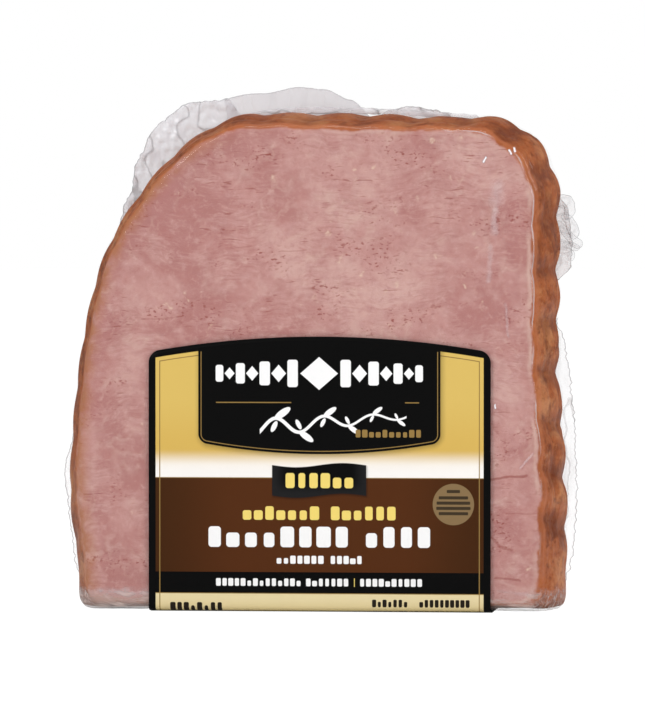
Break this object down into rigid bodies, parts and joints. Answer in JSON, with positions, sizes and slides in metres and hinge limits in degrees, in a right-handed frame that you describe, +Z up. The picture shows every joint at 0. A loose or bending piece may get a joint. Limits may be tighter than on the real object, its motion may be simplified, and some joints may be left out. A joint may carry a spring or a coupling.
{
  "type": "vacuum-packed ham piece",
  "caption": "Slab of boneless smoked ham cut from the log, sealed in a clear shrink bag with spare film at its edges and a printed label, standing on its edge.",
  "frame": {"origin": "middle of the flat underside, under the middle of the whole pack's box", "axes": "+Z up as the pack stands on its edge, the labelled cut face towards -Y, +X to the right seen from the front"},
  "size_m": [0.1524, 0.0546, 0.1515],
  "materials": {
    "film_over_ham": "pink cured ham with a brown smoked rind under tight, clear, glossy film",
    "clear_film": "clear shrink film, glossy, whitish where it is creased or gathered",
    "printed_label": "semi-gloss printed film label, brown and gold with a black border"
  },
  "bodies": {
    "root": {"sealed_bag": "film_over_ham", "label": "printed_label"}
  },
  "joints": []
}
